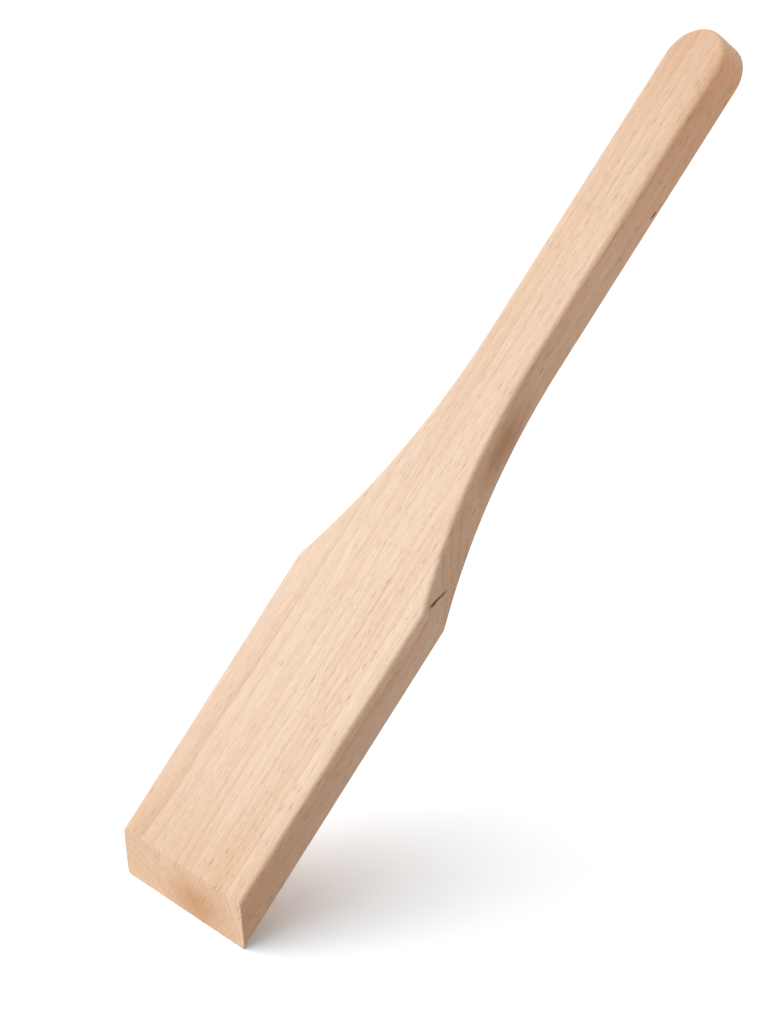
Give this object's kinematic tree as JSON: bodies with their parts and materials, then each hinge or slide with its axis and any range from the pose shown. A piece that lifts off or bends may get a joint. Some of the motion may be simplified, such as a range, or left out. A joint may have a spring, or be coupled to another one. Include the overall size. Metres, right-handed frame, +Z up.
{
  "type": "wooden paddle",
  "caption": "Flat beech paddle with a straight-sided blade, a slanting sawn end, a hollow-sided neck and a narrow round-ended handle, all edges rounded except at the saw cut.",
  "frame": {"origin": "middle of the whole length and width, on the flat back face that the paddle rests on", "axes": "+X along the length towards the round end of the handle, +Y across the width, +Z up through the thickness, out of the working face"},
  "size_m": [0.3576, 0.07, 0.0135],
  "materials": {
    "beech": "planed and sanded, with no varnish"
  },
  "bodies": {
    "root": {"paddle": "beech"}
  },
  "joints": []
}
